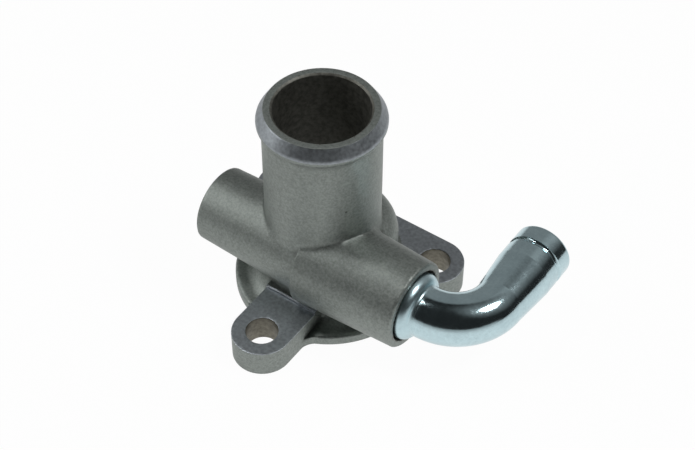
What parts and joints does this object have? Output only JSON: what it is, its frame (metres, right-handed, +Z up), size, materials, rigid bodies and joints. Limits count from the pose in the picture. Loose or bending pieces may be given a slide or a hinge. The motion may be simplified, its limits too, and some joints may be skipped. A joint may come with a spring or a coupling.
{
  "type": "thermostat housing",
  "caption": "Cast aluminium engine coolant outlet with an upright hose neck, a flange with bolt ears, a sensor boss and a pressed-in plated steel elbow for the heater hose.",
  "frame": {"origin": "centre of the round valve seat, on the flange face", "axes": "+Z up from the flange face towards the mouth of the hose neck, +X along the boss that holds the heater pipe, +Y towards the pair of bolts"},
  "size_m": [0.096, 0.0703, 0.066],
  "materials": {
    "casting": "blasted",
    "plated_steel": "bright zinc"
  },
  "bodies": {
    "root": {"housing": "casting", "heater_pipe": "plated_steel"}
  },
  "joints": []
}
